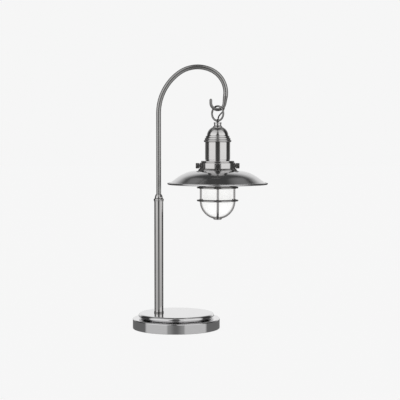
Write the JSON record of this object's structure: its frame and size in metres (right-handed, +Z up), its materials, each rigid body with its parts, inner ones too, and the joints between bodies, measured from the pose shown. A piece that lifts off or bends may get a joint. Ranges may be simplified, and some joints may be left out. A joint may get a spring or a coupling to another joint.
{
  "type": "table lamp",
  "caption": "Chrome table lamp: a caged glass lantern with a wide shade hangs by a ring from a hooked, crook-topped post on a round stepped base.",
  "frame": {"origin": "centre of the base's underside, on the table", "axes": "+Z up along the post, +X from the post towards the hanging lantern, +Y to the back, away from the camera"},
  "size_m": [0.2775, 0.206, 0.5411],
  "materials": {
    "satin_chrome": "polished nickel-chrome plate with a faint satin brushing",
    "plated_steel": "zinc-plated steel",
    "cast_weight": "rough cast iron",
    "felt": "dark felt",
    "cord_sheath": "smooth flexible sheath",
    "black_plastic": "moulded",
    "brass": "plain spun brass",
    "gasket_rubber": "soft seal",
    "opal_glass": "frosted white"
  },
  "bodies": {
    "stand": {"base_pad": "felt", "base_cover_plate": "plated_steel", "base_lower_shell": "satin_chrome", "base_upper_disc": "satin_chrome", "base_weight": "cast_weight", "base_cover_screws": "plated_steel", "base_nipple": "plated_steel", "base_washer": "plated_steel", "base_lock_nut": "plated_steel", "cord_inlet_grommet": "black_plastic", "cord_clamp": "black_plastic", "post_foot_collar": "satin_chrome", "post_tube": "satin_chrome", "post_foot_plug": "plated_steel", "post_top_bush": "plated_steel", "post_top_collar": "satin_chrome", "crook_grub_screw": "plated_steel", "crook_tube": "satin_chrome", "hook_end": "satin_chrome", "flex_exit_bush": "black_plastic", "inner_lead": "cord_sheath", "lantern_flex": "cord_sheath"},
    "ring": {"hanging_ring": "satin_chrome"},
    "lantern": {"hanger_eye": "satin_chrome", "finial": "satin_chrome", "flex_entry_bush": "black_plastic", "dome_cap": "satin_chrome", "cap_stepped_ring": "satin_chrome", "neck_sleeve": "satin_chrome", "gallery_plate": "satin_chrome", "gallery_body": "satin_chrome", "gallery_shell": "satin_chrome", "gallery_brim": "satin_chrome", "shade_clamp_ring": "satin_chrome", "screw_bosses": "satin_chrome", "shade": "satin_chrome", "holder_nipple": "plated_steel", "neck_lock_nut": "plated_steel", "lampholder_cap": "black_plastic", "lampholder_body": "black_plastic", "holder_contact": "brass"},
    "cage": {"glass_dome": "opal_glass", "glass_gasket": "gasket_rubber", "glass_retaining_ring": "plated_steel", "cage_collar": "satin_chrome", "cage_ribs": "satin_chrome", "cage_upper_ring": "satin_chrome", "cage_lower_ring": "satin_chrome", "cage_boss": "satin_chrome"},
    "bulb": {"bulb_cap": "brass", "bulb_glass": "opal_glass"},
    "thumbscrew_right": {"thumbscrew_right": "satin_chrome"},
    "thumbscrew_back": {"thumbscrew_back": "satin_chrome"},
    "thumbscrew_left": {"thumbscrew_left": "satin_chrome"},
    "thumbscrew_front": {"thumbscrew_front": "satin_chrome"}
  },
  "joints": [
    {"name": "ring_swing", "type": "hinge", "parent": "stand", "child": "ring", "pos_m": [0.085, 0, 0.449], "axis": [1, 0, 0], "range_deg": [-6, 15], "deforming": ["lantern_flex"]},
    {"name": "lantern_swing", "type": "hinge", "parent": "ring", "child": "lantern", "pos_m": [0.085, 0, 0.4263], "axis": [0.766, -0.6428, 0], "range_deg": [-8, 25]},
    {"name": "cage_release", "type": "slide", "parent": "lantern", "child": "cage", "axis": [0, 0, -1], "range_m": [0, 0.09]},
    {"name": "bulb_turn", "type": "hinge", "parent": "lantern", "child": "bulb", "pos_m": [0.085, 0, 0.31], "axis": [0, 0, -1], "range_deg": [0, 1080]},
    {"name": "thumbscrew_right_turn", "type": "hinge", "parent": "lantern", "child": "thumbscrew_right", "pos_m": [0.126, 0, 0.3343], "axis": [1, 0, 0], "range_deg": [0, 720]},
    {"name": "thumbscrew_back_turn", "type": "hinge", "parent": "lantern", "child": "thumbscrew_back", "pos_m": [0.085, 0.041, 0.3343], "axis": [0, 1, 0], "range_deg": [0, 720]},
    {"name": "thumbscrew_left_turn", "type": "hinge", "parent": "lantern", "child": "thumbscrew_left", "pos_m": [0.044, 0, 0.3343], "axis": [-1, 0, 0], "range_deg": [0, 720]},
    {"name": "thumbscrew_front_turn", "type": "hinge", "parent": "lantern", "child": "thumbscrew_front", "pos_m": [0.085, -0.041, 0.3343], "axis": [0, -1, 0], "range_deg": [0, 720]}
  ]
}
